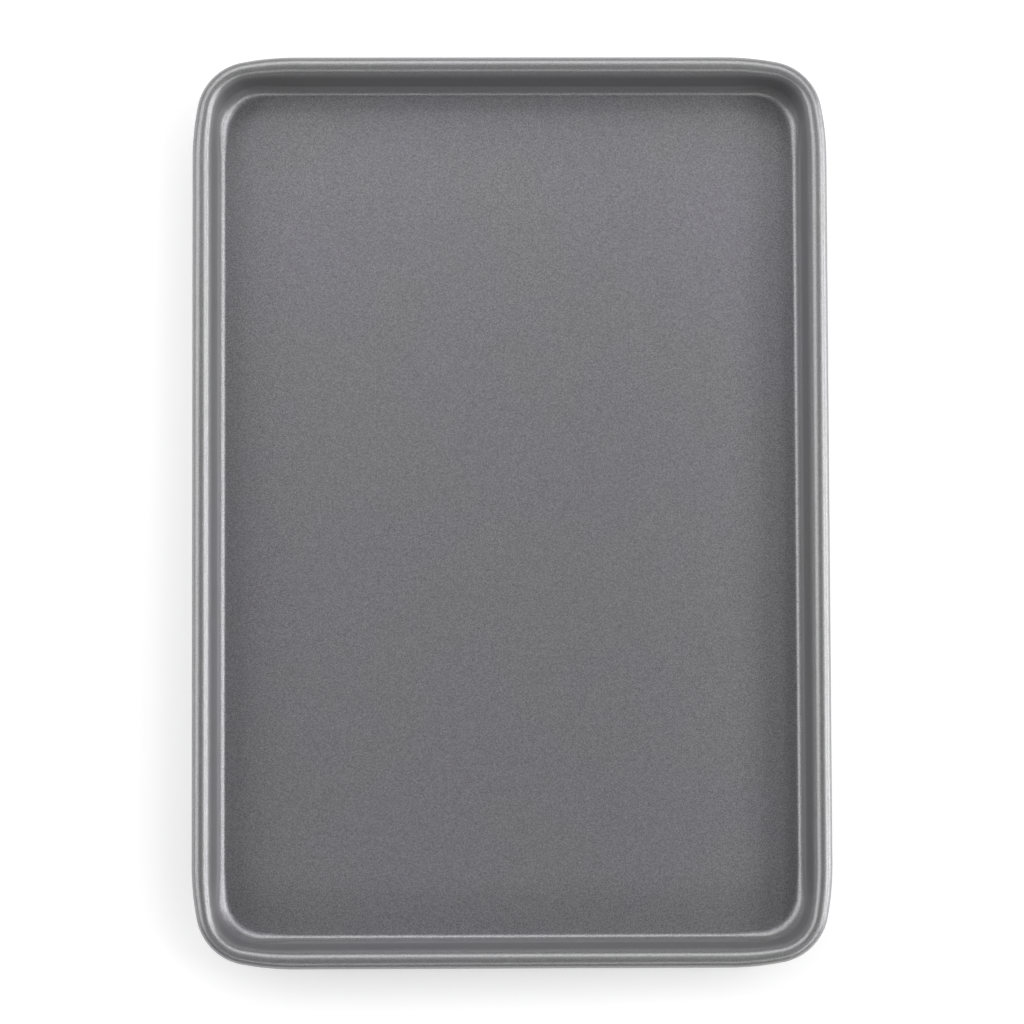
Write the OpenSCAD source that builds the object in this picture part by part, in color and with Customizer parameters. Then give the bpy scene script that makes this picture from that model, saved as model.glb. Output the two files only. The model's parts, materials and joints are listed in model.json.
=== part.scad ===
// Jelly roll pan: one pressed steel sheet with a rolled rim, and the steel wire inside the rim.
// Millimetres. X runs across the short way, Y along the long way, Z up.
// The origin is the centre of the underside, on the surface that the pan stands on.

/* [Overall] */
// Width over the rolled rim, the short way
pan_w = 280; // [230:1:340]
// Length over the rolled rim, the long way
pan_l = 401; // [330:1:490]
// Height from the underside of the floor to the top of the rim
pan_h = 25.4; // [18:0.1:40]

/* [Sheet] */
// Thickness of the steel sheet
sheet_t = 0.8; // [0.6:0.05:1.2]
// How much thinner than the sheet the walls are drawn, half of it on each face
wall_thinning = 0.04; // [0.02:0.01:0.1]
// Lean of the walls away from upright, in degrees
wall_lean = 10; // [5:0.5:14]
// Radius between the floor and the walls, on the food side
floor_fillet_r = 2.9; // [2:0.1:5]

/* [Corners in plan] */
// Radius of the tight arc in the middle of a corner, at the rim's outer edge
corner_r = 24.6; // [20.5:0.1:34]
// Radius of the gentle arc that leads from each side into the tight one
corner_ease_r = 125; // [60:1:160]
// Angle that each gentle arc turns through, in degrees
corner_ease_angle = 11; // [4:0.5:16]

/* [Rim wire] */
// Diameter of the wire inside the rim
wire_d = 6.35; // [4.5:0.05:7.5]
// Clearance all round the wire, inside the curl of the sheet
wire_clearance = 0.2; // [0.1:0.05:0.4]
// Gap between the two ends of the wire, in the middle of one short side
wire_end_gap = 1.5; // [0.5:0.1:5]
// Slit between the free edge of the curl and the back of the wall
curl_slit = 0.5; // [0.2:0.1:1]

/* [Hidden] */
$fn = 96;
coating_colour = "#6f6e73";
wire_colour = "#a9abae";

// The curl: the sheet goes round the wire, and its outside is the bead that shows
curl_r = wire_d / 2 + wire_clearance;
bead_r = curl_r + sheet_t;
bead_z = pan_h - bead_r;

// The wall, measured up its slope from the end of the floor fillet to the bead
fillet_to_bead = bead_r + floor_fillet_r;
fillet_z = sheet_t + floor_fillet_r;
wall_len = (bead_z - fillet_z + fillet_to_bead * sin(wall_lean)) / cos(wall_lean);

// Distance in from the rim's outer edge to where the floor turns flat
floor_start = bead_r + fillet_to_bead * cos(wall_lean) + wall_len * sin(wall_lean);

// The floor's flat margin is swept with the walls, and one plate fills the middle and laps the margin.
// Both keep within the flat band that the tight arc of a corner leaves between the bend and its centre
flat_band = corner_r - floor_start;
margin_share = 0.75;
plate_share = 0.4;
margin_w = margin_share * flat_band;
plate_edge = floor_start + plate_share * flat_band;

// Plan of a corner: gentle arc, tight arc, gentle arc, each tangent to the next
ease_shift = corner_ease_r - corner_r;
tight_inset = corner_ease_r - ease_shift * cos(corner_ease_angle);
corner_reach = tight_inset + ease_shift * sin(corner_ease_angle);
tight_centre = [pan_w / 2 - tight_inset, pan_l / 2 - tight_inset];
straight_x = pan_w / 2 - corner_reach;
straight_y = pan_l / 2 - corner_reach;

// How far each half of a side runs past the middle, where the two halves lap
half_lap = 1;

// Larger than any section, for the masks that cut one
mask = 4 * bead_r;

// Sections lie in a frame whose X is the way outwards, with 0 at the rim's outer edge, and whose Y is up

// The bend between floor and wall, about its own centre
module bend_section() {
    difference() {
        circle(r = floor_fillet_r + sheet_t);
        circle(r = floor_fillet_r);
        translate([-mask, -mask]) square([mask, 2 * mask]);
        rotate(-wall_lean) translate([-mask, 0]) square([2 * mask, mask]);
    }
}

// The curl about the wire's centre: a ring, open by a slit where it comes back to the wall
module curl_section() {
    difference() {
        circle(r = bead_r);
        circle(r = curl_r);
        translate([-mask, -mask]) square([mask - curl_r + curl_slit, mask]);
    }
}

// The whole sheet, from the floor's flat margin to the free edge of the curl, each stretch in line with
// the next
module shell_section() {
    translate([-floor_start, fillet_z]) {
        translate([-margin_w, -fillet_z]) square([margin_w, sheet_t]);
        bend_section();
        rotate(-wall_lean) {
            translate([floor_fillet_r + wall_thinning / 2, 0]) square([sheet_t - wall_thinning, wall_len]);
            translate([fillet_to_bead, wall_len]) curl_section();
        }
    }
}

module wire_section() {
    translate([-bead_r, bead_z]) circle(d = wire_d);
}

// Moves to a point in two steps, a thousandth of a millimetre and what is left, so that no digit is lost
module place(point) {
    step = [for (c = point) round(c * 1000) / 1000];
    translate(step) translate(point - step) children();
}

// Sweeps a section round an arc
module arc_run(centre, r, start, turn) {
    place(centre) rotate_extrude(angle = turn, start = start) translate([r, 0]) children();
}

// Sweeps a section along half a short side, from the corner at +X and +Y to just past the middle
module half_short_side() {
    run = ceil(straight_x) + half_lap;
    place([straight_x, pan_l / 2]) rotate([90, 0, 90]) translate([0, 0, -run]) {
        linear_extrude(height = run) children();
    }
}

// Sweeps a section along half a long side, from the same corner
module half_long_side() {
    run = ceil(straight_y) + half_lap;
    place([pan_w / 2, straight_y]) rotate([90, 0, 0]) linear_extrude(height = run) children();
}

// Sweeps a section round a quarter of the pan, the one at +X and +Y
module quarter_run() {
    tight_turn = 90 - 2 * corner_ease_angle;
    half_long_side() children();
    arc_run([pan_w / 2 - corner_ease_r, straight_y], corner_ease_r, 0, corner_ease_angle) children();
    arc_run(tight_centre, corner_r, corner_ease_angle, tight_turn) children();
    arc_run([straight_x, pan_l / 2 - corner_ease_r], corner_ease_r, 90 - corner_ease_angle,
        corner_ease_angle) children();
    half_short_side() children();
}

// Sweeps a section all the way round the pan
module round_the_pan() {
    for (flip_x = [0, 1], flip_y = [0, 1]) {
        mirror([flip_x, 0, 0]) mirror([0, flip_y, 0]) quarter_run() children();
    }
}

// Where the straights and arcs of the corner at +X and +Y meet, at an inset from the rim's outer edge
function corner_points(inset) = [
    [pan_w / 2 - inset, straight_y],
    tight_centre + (corner_r - inset) * [cos(corner_ease_angle), sin(corner_ease_angle)],
    tight_centre + (corner_r - inset) * [sin(corner_ease_angle), cos(corner_ease_angle)],
    [straight_x, pan_l / 2 - inset]
];

function reversed(points) = [for (i = [len(points) - 1 : -1 : 0]) points[i]];

function flipped(points, sx, sy) = [for (p = points) [sx * p[0], sy * p[1]]];

module floor_plate() {
    quarter = corner_points(plate_edge);
    linear_extrude(height = sheet_t) polygon(concat(
        quarter,
        reversed(flipped(quarter, -1, 1)),
        flipped(quarter, -1, -1),
        reversed(flipped(quarter, 1, -1))
    ));
}

// The pressed sheet: floor, walls and curled rim in one piece
module pan_shell() {
    color(coating_colour) {
        round_the_pan() shell_section();
        floor_plate();
    }
}

// The rod inside the curl, bent to the rim's outline, with its two ends facing each other at -Y
module rim_wire() {
    color(wire_colour) difference() {
        round_the_pan() wire_section();
        translate([0, bead_r - pan_l / 2, bead_z]) {
            cube([wire_end_gap, 2 * bead_r, 2 * bead_r], center = true);
        }
    }
}

pan_shell();
rim_wire();
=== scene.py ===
"""Looks of a jelly roll pan, built round its packed construction model.

The pan is one pressed steel sheet with a rolled rim, coated dark grey on both faces, and a bare wire inside
the rim. The sheet is modelled afresh: a pen draws its section at places round a quarter of the pan, bridges skin
the sections, and the quarter is mirrored. Lengths are metres, in the construction model's frame.
"""

from __future__ import annotations

import json
import logging
import math
from dataclasses import astuple, dataclass, field
from enum import Enum

import bmesh
import bpy
from mathutils import Matrix, Vector

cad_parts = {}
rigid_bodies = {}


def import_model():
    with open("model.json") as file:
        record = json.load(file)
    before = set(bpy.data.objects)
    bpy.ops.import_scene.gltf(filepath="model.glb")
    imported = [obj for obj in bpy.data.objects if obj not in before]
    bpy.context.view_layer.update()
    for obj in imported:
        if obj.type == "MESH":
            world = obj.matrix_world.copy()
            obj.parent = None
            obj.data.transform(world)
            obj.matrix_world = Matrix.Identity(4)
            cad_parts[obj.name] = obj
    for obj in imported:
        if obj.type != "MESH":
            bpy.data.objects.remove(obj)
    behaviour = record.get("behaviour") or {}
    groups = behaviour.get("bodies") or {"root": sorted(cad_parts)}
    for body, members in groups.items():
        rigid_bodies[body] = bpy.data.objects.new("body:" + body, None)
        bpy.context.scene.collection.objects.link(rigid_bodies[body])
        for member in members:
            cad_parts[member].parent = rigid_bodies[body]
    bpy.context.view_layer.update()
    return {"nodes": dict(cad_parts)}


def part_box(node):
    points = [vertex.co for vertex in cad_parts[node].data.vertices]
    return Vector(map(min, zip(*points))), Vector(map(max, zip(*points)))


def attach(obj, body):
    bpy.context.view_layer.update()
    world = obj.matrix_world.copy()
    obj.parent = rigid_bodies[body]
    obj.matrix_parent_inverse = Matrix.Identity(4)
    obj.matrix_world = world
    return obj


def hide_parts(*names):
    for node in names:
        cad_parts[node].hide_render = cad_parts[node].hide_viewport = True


LOG = logging.getLogger("jelly_roll_pan")
BODY = "root"
SHELL_NODE = "pan_shell"
WIRE_NODE = "rim_wire"
MM = 0.001


class Bearing(Enum):
    """Where a soft lamp stands round the pan, as the photograph shows it, in degrees from +X."""

    RIGHT = 0.0
    FAR_RIGHT = 45.0
    FAR = 90.0
    FAR_LEFT = 135.0
    LEFT = 180.0
    NEAR_LEFT = 225.0
    NEAR = 270.0
    NEAR_RIGHT = 315.0


class NodeTree:
    """A material, world or group node tree with short calls for adding and linking nodes."""

    def __init__(self, tree: bpy.types.NodeTree) -> None:
        """Wraps a tree and empties it.

        Args:
            tree: The node tree to fill.
        """
        self.tree = tree
        self.tree.nodes.clear()

    def add(self, kind: str, **settings: object) -> bpy.types.Node:
        """Adds a node.

        Args:
            kind: The node's type name, without the ShaderNode at its front.
            **settings: Attributes of the node, or numbers for its inputs where the node has no such attribute.

        Returns:
            The new node.
        """
        node = self.tree.nodes.new(kind if kind.startswith("NodeGroup") else "ShaderNode" + kind)
        for name, value in settings.items():
            if hasattr(node, name):
                setattr(node, name, value)
            else:
                node.inputs[name.replace("_", " ")].default_value = value
        return node

    def link(self, source: bpy.types.NodeSocket, target: bpy.types.NodeSocket) -> None:
        """Links an output socket to an input socket."""
        self.tree.links.new(source, target)

    def math(self, operation: str, first: object, second: object) -> bpy.types.NodeSocket:
        """Adds a two-input maths node.

        Args:
            operation: The operation, such as MULTIPLY.
            first: A socket or a number.
            second: A socket or a number.

        Returns:
            The result's socket.
        """
        node = self.add("Math", operation=operation)
        for slot, value in zip(node.inputs, (first, second)):
            if isinstance(value, bpy.types.NodeSocket):
                self.link(value, slot)
            else:
                slot.default_value = value
        return node.outputs[0]


class ShaderGroups:
    """The node groups that more than one finish uses, each built once."""

    grain_size: float = 1 * MM
    drift_size: float = 20 * MM
    drift_detail: float = 3.0
    drift_roughness: float = 0.6
    drift_low: float = 0.35
    drift_high: float = 0.65

    def __init__(self) -> None:
        """Starts with no group built."""
        self.built: dict[str, bpy.types.NodeTree] = {}

    def grain(self) -> bpy.types.NodeTree:
        """Builds the fine pebbled grain of a sprayed coat or a drawn surface, one tone for each tiny cell.

        Returns:
            A group with the inputs Vector and Size, and the outputs Height, from 0 to 1, and Fleck, which swings
            about 0.
        """
        if "grain" in self.built:
            return self.built["grain"]
        group = bpy.data.node_groups.new("pebbled_grain", "ShaderNodeTree")
        socket = group.interface.new_socket
        socket("Vector", in_out="INPUT", socket_type="NodeSocketVector")
        socket("Size", in_out="INPUT", socket_type="NodeSocketFloat").default_value = self.grain_size
        socket("Height", in_out="OUTPUT", socket_type="NodeSocketFloat")
        socket("Fleck", in_out="OUTPUT", socket_type="NodeSocketFloat")
        tree = NodeTree(group)
        given = tree.add("NodeGroupInput")
        made = tree.add("NodeGroupOutput")
        per_metre = tree.math("DIVIDE", 1.0, given.outputs["Size"])
        pebbles = tree.add("TexVoronoi")
        tree.link(given.outputs["Vector"], pebbles.inputs["Vector"])
        tree.link(per_metre, pebbles.inputs["Scale"])
        tree.link(pebbles.outputs["Distance"], made.inputs["Height"])
        cell = tree.add("SeparateColor")
        tree.link(pebbles.outputs["Color"], cell.inputs["Color"])
        centred = tree.math("SUBTRACT", cell.outputs["Red"], 0.5)
        tree.link(tree.math("MULTIPLY", centred, 2.0), made.inputs["Fleck"])
        self.built["grain"] = group
        return group

    def drift(self) -> bpy.types.NodeTree:
        """Builds the slow drift of tone over a surface, in soft patches.

        Returns:
            A group with the inputs Vector and Size, and the output Mask, from 0 to 1.
        """
        if "drift" in self.built:
            return self.built["drift"]
        group = bpy.data.node_groups.new("tone_drift", "ShaderNodeTree")
        socket = group.interface.new_socket
        socket("Vector", in_out="INPUT", socket_type="NodeSocketVector")
        socket("Size", in_out="INPUT", socket_type="NodeSocketFloat").default_value = self.drift_size
        socket("Mask", in_out="OUTPUT", socket_type="NodeSocketFloat")
        tree = NodeTree(group)
        given = tree.add("NodeGroupInput")
        made = tree.add("NodeGroupOutput")
        per_metre = tree.math("DIVIDE", 1.0, given.outputs["Size"])
        clouds = tree.add("TexNoise", Detail=self.drift_detail, Roughness=self.drift_roughness)
        tree.link(given.outputs["Vector"], clouds.inputs["Vector"])
        tree.link(per_metre, clouds.inputs["Scale"])
        spread = tree.add("MapRange", From_Min=self.drift_low, From_Max=self.drift_high)
        tree.link(clouds.outputs["Fac"], spread.inputs["Value"])
        tree.link(spread.outputs["Result"], made.inputs["Mask"])
        self.built["drift"] = group
        return group


class FinishTree(NodeTree):
    """A finish's node tree: the shader, its output, and the grain and the drift on object coordinates."""

    def __init__(self, material: bpy.types.Material, groups: ShaderGroups, grain: float, drift: float) -> None:
        """Adds the nodes that every finish begins with.

        Args:
            material: The finish's material.
            groups: The shared node groups.
            grain: Size of the grain.
            drift: Size of the drift.
        """
        material.use_nodes = True
        super().__init__(material.node_tree)
        self.shader = self.add("BsdfPrincipled")
        self.link(self.shader.outputs["BSDF"], self.add("OutputMaterial").inputs["Surface"])
        self.place = self.add("TexCoord").outputs["Object"]
        self.grain = self.add("Group", node_tree=groups.grain(), Size=grain)
        self.drift = self.add("Group", node_tree=groups.drift(), Size=drift)
        self.link(self.place, self.grain.inputs["Vector"])
        self.link(self.place, self.drift.inputs["Vector"])

    def drifting(self, first: tuple[float, float, float], second: tuple[float, float, float]) -> bpy.types.NodeSocket:
        """Mixes two tints by the drift.

        Args:
            first: The tint where the drift is 0.
            second: The tint where the drift is 1.

        Returns:
            The mixed tint's socket.
        """
        tint = self.add("Mix", data_type="RGBA")
        self.link(self.drift.outputs["Mask"], tint.inputs["Factor"])
        tint.inputs["A"].default_value = (*first, 1.0)
        tint.inputs["B"].default_value = (*second, 1.0)
        return tint.outputs["Result"]

    def relieve(self, depth: float) -> None:
        """Raises the grain on the surface by a depth."""
        bump = self.add("Bump", Strength=1.0, Distance=depth)
        self.link(self.grain.outputs["Height"], bump.inputs["Height"])
        self.link(bump.outputs["Normal"], self.shader.inputs["Normal"])


@dataclass(frozen=True)
class ShadeAndGrainStop:
    """The coat at one height: its tint's three factors, painted shade and highlight, and the share of its grain."""

    height: float
    red: float
    green: float
    blue: float
    grain: float


@dataclass(frozen=True)
class NonStickCoat:
    """The satin dark grey coat: fine pebbled grain, a faint metallic sheen and a slow drift of tint.

    The tint varies with height as painted light: the upper walls are darker as painted shade, and the bend, the
    lower wall and the rim are lighter and less blue than the floor, as painted highlight. The grain is coarser on
    the floor and smoother on the upper walls.
    """

    slot: str = "nonstick_coating"
    cool_tint: tuple[float, float, float] = (0.320, 0.314, 0.344)
    neutral_tint: tuple[float, float, float] = (0.317, 0.317, 0.329)
    # Painted light: from 9 to 18 mm the walls are painted darker as shade; the bend, the lower wall and the rim are
    # painted lighter and less blue as highlight.
    shade_and_grain_stops: tuple[ShadeAndGrainStop, ...] = (
        ShadeAndGrainStop(1.0 * MM, 0.970, 0.970, 0.970, 1.00),
        ShadeAndGrainStop(2.0 * MM, 1.000, 1.000, 0.960, 0.80),
        ShadeAndGrainStop(7.5 * MM, 1.000, 1.000, 0.970, 0.50),
        ShadeAndGrainStop(9.0 * MM, 0.700, 0.705, 0.680, 0.35),
        ShadeAndGrainStop(18.0 * MM, 0.700, 0.705, 0.680, 0.35),
        ShadeAndGrainStop(21.5 * MM, 0.995, 1.000, 0.960, 0.60),
    )
    top_stop: float = 25 * MM
    metallic: float = 0.6
    roughness: float = 0.37
    specular: float = 0.75
    grain_size: float = 0.25 * MM
    grain_tone: float = 0.395
    grain_roughness: float = 0.01
    grain_relief: float = 0.001 * MM
    drift_size: float = 80 * MM

    def material(self, groups: ShaderGroups) -> bpy.types.Material:
        """Builds the material.

        Args:
            groups: The shared node groups.

        Returns:
            The finished material.
        """
        material = bpy.data.materials.new(self.slot)
        tree = FinishTree(material, groups, self.grain_size, self.drift_size)
        shader, fleck = tree.shader, tree.grain.outputs["Fleck"]
        shader.inputs["Metallic"].default_value = self.metallic
        shader.inputs["Specular IOR Level"].default_value = self.specular
        ramp = self.shade_and_grain_ramp(tree)
        # The drift's random tint times the ramp's painted shade and painted highlight.
        coat = tree.add("VectorMath", operation="MULTIPLY")
        tree.link(tree.drifting(self.cool_tint, self.neutral_tint), coat.inputs[0])
        tree.link(ramp.outputs["Color"], coat.inputs[1])
        tone = tree.add("VectorMath", operation="SCALE")
        tree.link(coat.outputs["Vector"], tone.inputs["Vector"])
        swing = tree.math("MULTIPLY", fleck, tree.math("MULTIPLY", ramp.outputs["Alpha"], self.grain_tone))
        tree.link(tree.math("ADD", swing, 1.0), tone.inputs["Scale"])
        tree.link(tone.outputs["Vector"], shader.inputs["Base Color"])
        rough = tree.math("MULTIPLY", fleck, self.grain_roughness)
        tree.link(tree.math("ADD", rough, self.roughness), shader.inputs["Roughness"])
        tree.relieve(self.grain_relief)
        return material

    def shade_and_grain_ramp(self, tree: FinishTree) -> bpy.types.Node:
        """Adds the ramp that holds the coat's painted shade and painted highlight by height, and the grain's share.

        Args:
            tree: The coat's tree.

        Returns:
            The ramp, with the painted shade and highlight in Color and the grain's share in Alpha.
        """
        height = tree.add("SeparateXYZ")
        tree.link(tree.place, height.inputs["Vector"])
        ramp = tree.add("ValToRGB")
        tree.link(tree.math("DIVIDE", height.outputs["Z"], self.top_stop), ramp.inputs["Fac"])
        marks = ramp.color_ramp.elements
        while len(marks) < len(self.shade_and_grain_stops):
            marks.new(1.0)
        for mark, stop in zip(marks, self.shade_and_grain_stops):
            mark.position = stop.height / self.top_stop
            mark.color = (stop.red, stop.green, stop.blue, stop.grain)
        return ramp


@dataclass(frozen=True)
class DrawnWire:
    """Bare drawn steel: bright, satin and faintly mottled by the drawing grease."""

    slot: str = "bare_wire"
    bright: tuple[float, float, float] = (0.56, 0.56, 0.57)
    dulled: tuple[float, float, float] = (0.44, 0.43, 0.42)
    roughness: float = 0.32
    grain_size: float = 0.4 * MM
    drift_size: float = 9 * MM
    grain_relief: float = 0.002 * MM

    def material(self, groups: ShaderGroups) -> bpy.types.Material:
        """Builds the material.

        Args:
            groups: The shared node groups.

        Returns:
            The finished material.
        """
        material = bpy.data.materials.new(self.slot)
        tree = FinishTree(material, groups, self.grain_size, self.drift_size)
        tree.shader.inputs["Metallic"].default_value = 1.0
        tree.shader.inputs["Roughness"].default_value = self.roughness
        tree.link(tree.drifting(self.bright, self.dulled), tree.shader.inputs["Base Color"])
        tree.relieve(self.grain_relief)
        return material


@dataclass(frozen=True)
class CornerPlan:
    """Plan of the pan's corner at +X and +Y: gentle arc, tight arc, gentle arc, each tangent to the next."""

    half_width: float
    half_length: float
    tight_radius: float = 24.6 * MM
    ease_radius: float = 125 * MM
    ease_angle: float = math.radians(11)
    tight_steps: int = 34
    ease_steps: int = 8

    @property
    def shift(self) -> float:
        """Distance between the centres of a gentle arc and the tight one."""
        return self.ease_radius - self.tight_radius

    @property
    def tight_inset(self) -> float:
        """How far in the tight arc's centre lies from either side."""
        return self.ease_radius - self.shift * math.cos(self.ease_angle)

    @property
    def reach(self) -> float:
        """How far in along a side the gentle arc begins."""
        return self.tight_inset + self.shift * math.sin(self.ease_angle)

    def stations(self) -> list[tuple[float, Vector]]:
        """Lists where the sections of a quarter of the pan stand.

        Returns:
            The bearing of each section, in radians from +X towards +Y, and its point on the rim's outer edge, from
            the middle of the long side to the middle of the short one.
        """
        end = Vector((self.half_width - self.reach, self.half_length - self.reach, 0))
        tight = Vector((self.half_width - self.tight_inset, self.half_length - self.tight_inset, 0))
        quarter = math.pi / 2
        long_ease = Vector((self.half_width - self.ease_radius, end.y, 0))
        short_ease = Vector((end.x, self.half_length - self.ease_radius, 0))
        arcs = (
            (long_ease, self.ease_radius, self.ease_angle, self.ease_steps),
            (tight, self.tight_radius, quarter - self.ease_angle, self.tight_steps),
            (short_ease, self.ease_radius, quarter, self.ease_steps),
        )
        found = [(0.0, Vector((self.half_width, 0, 0))), (0.0, Vector((self.half_width, end.y, 0)))]
        for centre, radius, last, steps in arcs:
            first = found[-1][0]
            for step in range(1, steps + 1):
                bearing = first + (last - first) * step / steps
                found.append((bearing, centre + Vector((math.cos(bearing), math.sin(bearing), 0)) * radius))
        found.append((quarter, Vector((0, self.half_length, 0))))
        return found


class SectionPen:
    """Draws a section in the plane Y = 0 with bmesh operators, from a point, by straight runs and bends."""

    def __init__(self, start: Vector) -> None:
        """Puts the pen down in a new mesh, heading towards +X.

        Args:
            start: Where the line starts.
        """
        self.mesh = bmesh.new()
        self.heading = 0.0
        self.tip = bmesh.ops.create_vert(self.mesh, co=start)["vert"][0]

    def run(self, length: float, steps: int = 1) -> None:
        """Draws a straight run.

        Args:
            length: Length of the run.
            steps: How many edges it has.
        """
        step = Vector((math.cos(self.heading), 0, math.sin(self.heading))) * (length / steps)
        for _ in range(steps):
            self.tip = bmesh.ops.extrude_vert_indiv(self.mesh, verts=[self.tip])["verts"][0]
            bmesh.ops.translate(self.mesh, verts=[self.tip], vec=step)

    def bend(self, radius: float, angle: float, steps: int) -> None:
        """Draws an arc that carries on from the last stretch.

        Args:
            radius: Radius of the arc.
            angle: How far it turns, in radians: to the left, towards +Z from +X, where it is positive.
            steps: How many edges it has.
        """
        for _ in range(steps):
            self.heading += angle / steps / 2
            self.run(2 * radius * math.sin(abs(angle) / steps / 2))
            self.heading += angle / steps / 2


@dataclass(frozen=True)
class Section:
    """What changes in the sheet's section from place to place round the pan."""

    bend_radius: float
    foot: float
    crown: float
    shoulder: float
    curl_radius: float

    def towards(self, other: Section, share: float) -> Section:
        """Mixes two sections.

        Args:
            other: The section to go to.
            share: How far, from 0 to 1.

        Returns:
            The section between them.
        """
        ours, theirs = astuple(self), astuple(other)
        return Section(*(mine + (its - mine) * share for mine, its in zip(ours, theirs)))


@dataclass
class PanShell:
    """The pressed sheet: flat floor, bend, leaning walls and a rim curled out, over and under.

    Along the sides the wall runs into the bead in a full round. In the corners, where the sheet is gathered, the
    bead is drawn tighter on its inner side and the bend at the floor is wider. The line that shines in the bend
    keeps to a rectangle with rounded corners all the same.
    """

    low: Vector
    high: Vector
    curl_radius: float
    sheet: float = 0.8 * MM
    bend_radius: float = 2.9 * MM
    long_line: float = 12.26 * MM
    short_line: float = 12.86 * MM
    line_radius: float = 17.8 * MM
    line_share: float = 0.6
    crown: float = 3.95 * MM
    shoulder: float = 4.15 * MM
    corner_bend: float = 6.2 * MM
    corner_crown: float = 3.7 * MM
    corner_shoulder: float = 3.75 * MM
    corner_curl: float = 3.25 * MM
    corner_full: float = math.radians(12.5)
    under_turn: float = math.radians(145)
    margin: float = 4 * MM
    bend_steps: int = 16
    wall_steps: int = 3
    shoulder_steps: int = 20
    outer_steps: int = 18
    under_steps: int = 14
    edge_steps: int = 4
    inside_steps: int = 35
    merge_distance: float = 0.002 * MM
    plan: CornerPlan = field(init=False)

    def __post_init__(self) -> None:
        """Works out the corner's plan from the box."""
        self.plan = CornerPlan(self.high.x, self.high.y)

    @property
    def bead_radius(self) -> float:
        """Outside radius of the rolled rim along the sides."""
        return self.curl_radius + self.sheet

    def section_at(self, bearing: float, place: Vector) -> Section:
        """Finds the section at a place round the pan.

        Args:
            bearing: Bearing of the place, in radians from +X, up to a quarter turn.
            place: The point on the rim's outer edge there.

        Returns:
            The section there.
        """
        line = self.line_at(bearing, place)
        side_foot = line + self.line_share * self.bend_radius
        corner_foot = line + self.line_share * self.corner_bend
        side = Section(self.bend_radius, side_foot, self.crown, self.shoulder, self.curl_radius)
        corner = Section(self.corner_bend, corner_foot, self.corner_crown, self.corner_shoulder, self.corner_curl)
        from_side = min(bearing, math.pi / 2 - bearing)
        return side.towards(corner, self.eased(from_side / self.corner_full))

    @staticmethod
    def eased(share: float) -> float:
        """Eases a share in and out, and keeps it from 0 to 1."""
        share = min(max(share, 0.0), 1.0)
        return share * share * (3 - 2 * share)

    def line_at(self, bearing: float, place: Vector) -> float:
        """Finds how far in from the rim's outer edge the line in the bend lies, a rectangle with rounded corners.

        Args:
            bearing: Bearing of the place, in radians from +X, up to a quarter turn.
            place: The point on the rim's outer edge there.

        Returns:
            The distance there, square to the rim.
        """
        radius, out = self.line_radius, Vector((math.cos(bearing), math.sin(bearing), 0))
        inset = Vector((self.long_line + radius, self.short_line + radius, 0))
        gap = place - Vector((self.high.x, self.high.y, 0)) + inset
        if bearing < math.pi / 4:
            line = (gap.x - radius) / out.x
            on_side = gap.y < line * out.y
        else:
            line = (gap.y - radius) / out.y
            on_side = gap.x < line * out.x
        if on_side:
            return line
        along = gap.dot(out)
        return along - math.sqrt(along * along - gap.length_squared + radius * radius)

    def draw_section(self, shape: Section) -> bmesh.types.BMesh:
        """Draws the sheet's whole section, food side first and back again, with 0 at the rim's outer edge.

        Args:
            shape: The section.

        Returns:
            A new mesh with the section.
        """
        bead, top, right = self.bead_radius, self.high.z - self.low.z, math.pi / 2
        bend_centre = Vector((-shape.foot, self.sheet + shape.bend_radius))
        crown_centre = Vector((-shape.crown, top - shape.shoulder))
        lean, wall = self.tangent(bend_centre, shape.bend_radius, crown_centre, shape.shoulder)
        back_bend = shape.bend_radius + self.sheet
        back_lean, back_wall = self.tangent(bend_centre, back_bend, Vector((-bead, top - bead)), shape.curl_radius)
        pen = SectionPen(Vector((-shape.foot - self.margin, 0, self.low.z + self.sheet)))
        pen.run(self.margin)
        pen.bend(shape.bend_radius, right - lean, self.bend_steps)
        pen.run(wall, self.wall_steps)
        pen.bend(shape.shoulder, lean - right, self.shoulder_steps)
        pen.bend(shape.crown, -right, self.outer_steps)
        pen.run(bead - shape.crown)
        pen.bend(bead, -self.under_turn, self.under_steps)
        pen.bend((bead - shape.curl_radius) / 2, -math.pi, self.edge_steps)
        pen.bend(shape.curl_radius, self.under_turn + math.pi - back_lean, self.inside_steps)
        pen.run(back_wall, self.wall_steps)
        pen.bend(back_bend, back_lean - right, self.bend_steps)
        pen.run(self.margin)
        return pen.mesh

    @staticmethod
    def tangent(low: Vector, low_radius: float, high: Vector, high_radius: float) -> tuple[float, float]:
        """Finds the straight wall between the bend at its foot and the round at its top.

        Args:
            low: Centre of the bend.
            low_radius: Radius of the bend.
            high: Centre of the round.
            high_radius: Radius of the round.

        Returns:
            The wall's lean from upright, in radians, and its length.
        """
        gap = high - low
        both = low_radius + high_radius
        lean = math.acos(both / gap.length) - math.atan2(gap.y, gap.x)
        return lean, math.sqrt(gap.length_squared - both * both)

    def sweep_quarter(self, mesh: bmesh.types.BMesh) -> None:
        """Skins the sections of a quarter of the pan.

        Args:
            mesh: The empty mesh to build in.
        """
        carrier = bpy.data.meshes.new("section")
        before: list[bmesh.types.BMEdge] = []
        for bearing, place in self.plan.stations():
            section = self.draw_section(self.section_at(bearing, place))
            section.transform(Matrix.Translation(place) @ Matrix.Rotation(bearing, 4, "Z"))
            section.to_mesh(carrier)
            section.free()
            known = set(mesh.edges)
            mesh.from_mesh(carrier)
            edges = [edge for edge in mesh.edges if edge not in known]
            if before:
                bmesh.ops.bridge_loops(mesh, edges=before + edges)
            before = edges
        bpy.data.meshes.remove(carrier)

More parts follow.
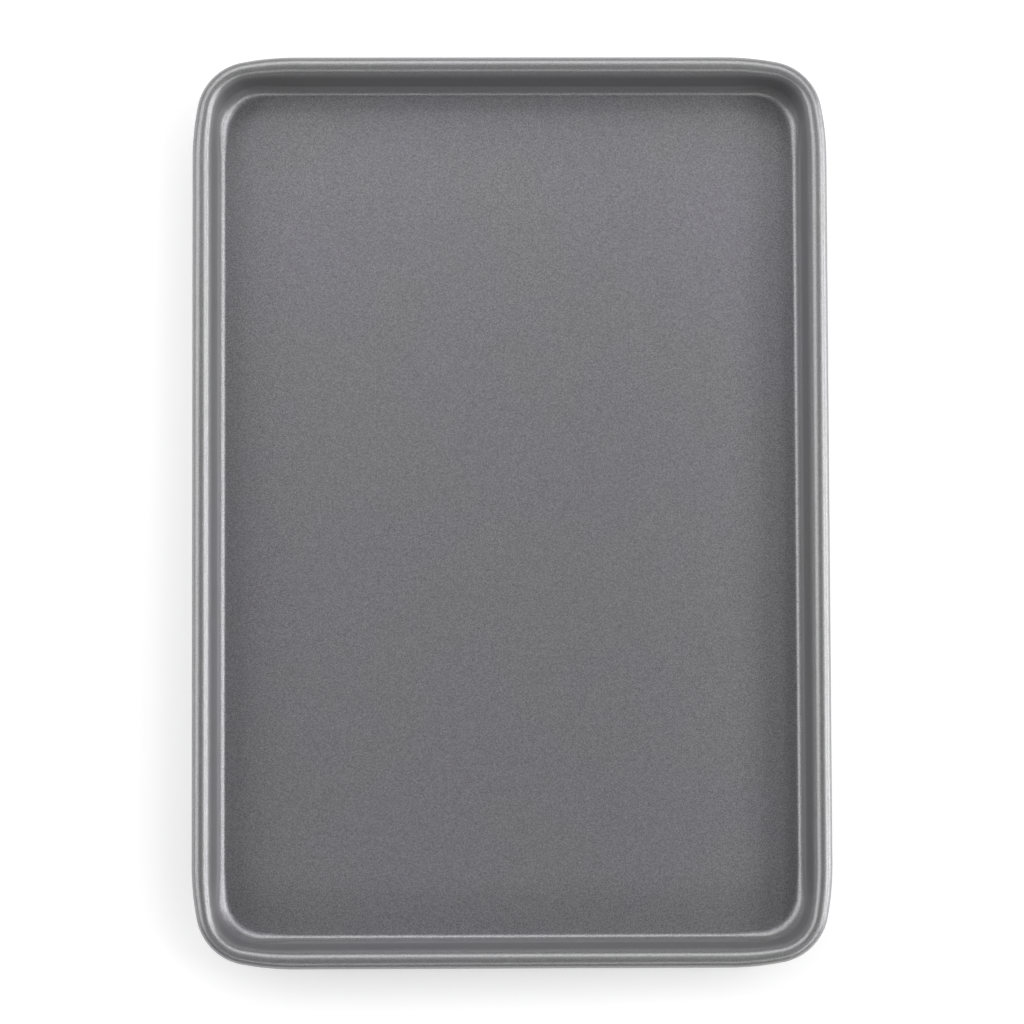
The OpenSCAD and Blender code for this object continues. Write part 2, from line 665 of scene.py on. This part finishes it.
    def close_floor(self, mesh: bmesh.types.BMesh) -> None:
        """Fills the two faces of the floor inside the swept margin.

        Args:
            mesh: The whole swept and mirrored mesh, open at the floor's two faces.
        """
        rims = [edge for edge in mesh.edges if edge.is_boundary]
        nearness = self.sheet / 4
        for level in (self.low.z, self.low.z + self.sheet):
            loop = [edge for edge in rims if abs(edge.verts[0].co.z - level) < nearness]
            bmesh.ops.contextual_create(mesh, geom=loop)

    def build(self) -> bpy.types.Object:
        """Builds the sheet as a closed mesh.

        Returns:
            The object, at the origin, with its place in its mesh.
        """
        mesh = bmesh.new()
        self.sweep_quarter(mesh)
        upright = Matrix.Identity(4)
        for axis in ("X", "Y"):
            geometry = list(mesh.verts) + list(mesh.edges) + list(mesh.faces)
            bmesh.ops.mirror(mesh, geom=geometry, matrix=upright, merge_dist=self.merge_distance, axis=axis)
        self.close_floor(mesh)
        bmesh.ops.recalc_face_normals(mesh, faces=list(mesh.faces))
        data = bpy.data.meshes.new("coated_sheet")
        mesh.to_mesh(data)
        mesh.free()
        data.shade_smooth()
        piece = bpy.data.objects.new("coated_sheet", data)
        bpy.context.scene.collection.objects.link(piece)
        return piece

    def dress(self, piece: bpy.types.Object, finish: NonStickCoat, groups: ShaderGroups) -> None:
        """Coats the sheet and gives it to the construction model's body.

        Args:
            piece: The sheet.
            finish: Its coat.
            groups: The shared node groups.
        """
        piece.data.materials.append(finish.material(groups))
        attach(piece, BODY)
        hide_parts(SHELL_NODE)


@dataclass
class RimWire:
    """The wire inside the rim, which keeps the construction model's shape."""

    node: bpy.types.Object

    def dress(self, finish: DrawnWire, groups: ShaderGroups) -> None:
        """Gives the wire its bare steel.

        Args:
            finish: The wire's finish.
            groups: The shared node groups.
        """
        material = finish.material(groups)
        slots = self.node.data.materials
        if len(slots) == 0:
            slots.append(material)
        for index in range(len(slots)):
            slots[index] = material


@dataclass(frozen=True)
class SoftBox:
    """One flat soft lamp that faces the pan, with its height given in degrees above the floor's horizon."""

    bearing: Bearing
    low: float
    high: float
    radiance: float
    distance: float = 1.6
    spread: float = 45.0

    def build(self) -> bpy.types.Object:
        """Builds the lamp.

        Returns:
            The lamp's object.
        """
        turn, middle = math.radians(self.bearing.value), math.radians((self.low + self.high) / 2)
        lamp = bpy.data.lights.new("softbox_" + self.bearing.name.lower(), "AREA")
        lamp.shape = "RECTANGLE"
        lamp.size = 2 * self.distance * math.cos(middle) * math.tan(math.radians(self.spread / 2))
        lamp.size_y = 2 * self.distance * math.tan(math.radians((self.high - self.low) / 2))
        lamp.energy = self.radiance * math.pi * lamp.size * lamp.size_y
        level = math.cos(middle)
        place = Vector((math.cos(turn) * level, math.sin(turn) * level, math.sin(middle))) * self.distance
        box = bpy.data.objects.new(lamp.name, lamp)
        box.matrix_world = Matrix.Translation(place) @ place.to_track_quat("Z", "Y").to_matrix().to_4x4()
        bpy.context.scene.collection.objects.link(box)
        return box


@dataclass
class Studio:
    """A pale floor, a dim surround that is white where it is seen, and soft lamps round the pan."""

    reach: float = 0.85
    floor_sides: int = 128
    floor_tone: float = 0.80
    floor_lift: float = 0.40
    surround: float = 0.005
    lamps: tuple[SoftBox, ...] = (
        SoftBox(Bearing.RIGHT, 2, 14, 7.73),
        SoftBox(Bearing.RIGHT, 32, 48, 5.89),
        SoftBox(Bearing.RIGHT, 56, 64, 2.74),
        SoftBox(Bearing.FAR_RIGHT, 24, 32, 1.36),
        SoftBox(Bearing.FAR_RIGHT, 40, 56, 2.44),
        SoftBox(Bearing.FAR_RIGHT, 64, 74, 0.14),
        SoftBox(Bearing.FAR, 24, 56, 2.39),
        SoftBox(Bearing.FAR, 64, 74, 0.40),
        SoftBox(Bearing.FAR_LEFT, 24, 32, 2.93),
        SoftBox(Bearing.FAR_LEFT, 32, 48, 0.51),
        SoftBox(Bearing.FAR_LEFT, 48, 56, 4.64),
        SoftBox(Bearing.FAR_LEFT, 64, 74, 0.23),
        SoftBox(Bearing.LEFT, 14, 56, 2.15),
        SoftBox(Bearing.NEAR_LEFT, 32, 40, 1.51),
        SoftBox(Bearing.NEAR, 32, 40, 2.88),
        SoftBox(Bearing.NEAR_RIGHT, 24, 40, 2.65),
    )

    @staticmethod
    def seen_directly(tree: NodeTree) -> bpy.types.NodeSocket:
        """Adds a mask that is 1 for the camera's own rays and for those of a mirror or a glass.

        Args:
            tree: The tree that needs the mask.

        Returns:
            The mask's socket.
        """
        path = tree.add("LightPath").outputs
        both = tree.math("MAXIMUM", path["Is Camera Ray"], path["Is Glossy Ray"])
        return tree.math("MAXIMUM", both, path["Is Transmission Ray"])

    def floor(self) -> bpy.types.Object:
        """Builds the pale round floor, which keeps the pan's shadow.

        Returns:
            The floor's object.
        """
        mesh = bmesh.new()
        bmesh.ops.create_circle(mesh, cap_ends=True, radius=self.reach, segments=self.floor_sides)
        data = bpy.data.meshes.new("pale_floor")
        mesh.to_mesh(data)
        mesh.free()
        floor = bpy.data.objects.new("pale_floor", data)
        bpy.context.scene.collection.objects.link(floor)
        material = bpy.data.materials.new("pale_floor")
        material.use_nodes = True
        tree = NodeTree(material.node_tree)
        output = tree.add("OutputMaterial")
        matt = tree.add("BsdfDiffuse")
        matt.inputs["Color"].default_value = (self.floor_tone,) * 3 + (1.0,)
        glow = tree.add("Emission")
        tree.link(tree.math("MULTIPLY", self.seen_directly(tree), self.floor_lift), glow.inputs["Strength"])
        both = tree.add("AddShader")
        tree.link(matt.outputs["BSDF"], both.inputs[0])
        tree.link(glow.outputs["Emission"], both.inputs[1])
        tree.link(both.outputs["Shader"], output.inputs["Surface"])
        data.materials.append(material)
        return floor

    def surroundings(self) -> None:
        """Makes the world: white where it is seen, and dim as a light."""
        world = bpy.data.worlds.new("surroundings")
        world.use_nodes = True
        bpy.context.scene.world = world
        tree = NodeTree(world.node_tree)
        output = tree.add("OutputWorld")
        sky = tree.add("Background")
        seen = tree.add("LightPath").outputs["Is Camera Ray"]
        lifted = tree.math("MULTIPLY", seen, 1.0 - self.surround)
        tree.link(tree.math("ADD", lifted, self.surround), sky.inputs["Strength"])
        tree.link(sky.outputs["Background"], output.inputs["Surface"])
        sky.inputs["Color"].default_value = (1.0, 1.0, 1.0, 1.0)

    def build(self) -> None:
        """Builds the floor, the surround and the lamps."""
        self.floor()
        self.surroundings()
        for lamp in self.lamps:
            lamp.build()


@dataclass
class PhotoCamera:
    """The camera above the pan, a little towards its near end, aimed at the middle of the picture."""

    place: Vector = field(default_factory=lambda: Vector((-28.8, -115.5, 1818.7)) * MM)
    tilt: float = 0.0637
    lean: float = -0.0160
    roll: float = -0.0036
    lens: float = 144.17
    film: float = 36.0

    def build(self) -> bpy.types.Object:
        """Builds the camera and makes it the scene's own.

        Returns:
            The camera's object.
        """
        lens = bpy.data.cameras.new("camera")
        lens.sensor_fit = "HORIZONTAL"
        lens.sensor_width = self.film
        lens.lens = self.lens
        camera = bpy.data.objects.new("camera", lens)
        turn = Matrix.Identity(4)
        for angle, axis in ((self.roll, "Z"), (self.lean, "Y"), (self.tilt, "X")):
            turn = turn @ Matrix.Rotation(angle, 4, axis)
        camera.matrix_world = Matrix.Translation(self.place) @ turn
        bpy.context.scene.collection.objects.link(camera)
        bpy.context.scene.camera = camera
        return camera


def clear_scene() -> None:
    """Removes what a new Blender file starts with."""
    for thing in list(bpy.data.objects):
        bpy.data.objects.remove(thing)


def main() -> None:
    """Builds every piece in order and reports each."""
    logging.basicConfig(level=logging.INFO, format="%(name)s: %(message)s")
    clear_scene()
    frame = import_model()
    bpy.context.scene.view_settings.view_transform = "Standard"
    PhotoCamera().build()
    groups = ShaderGroups()

    low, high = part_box(SHELL_NODE)
    wire_low, wire_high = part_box(WIRE_NODE)
    wire_radius = (wire_high.z - wire_low.z) / 2
    clearance = high.x - wire_high.x - PanShell.sheet
    shell = PanShell(low, high, curl_radius=wire_radius + clearance)
    piece = shell.build()
    shell.dress(piece, NonStickCoat(), groups)
    LOG.info("coated sheet: %d faces, bead radius %.2f mm", len(piece.data.polygons), shell.bead_radius / MM)

    wire = RimWire(frame["nodes"][WIRE_NODE])
    wire.dress(DrawnWire(), groups)
    LOG.info("rim wire: %d faces", len(wire.node.data.polygons))

    studio = Studio()
    studio.build()
    LOG.info("studio: floor, surround and %d soft boxes", len(studio.lamps))


if __name__ == "__main__":
    main()
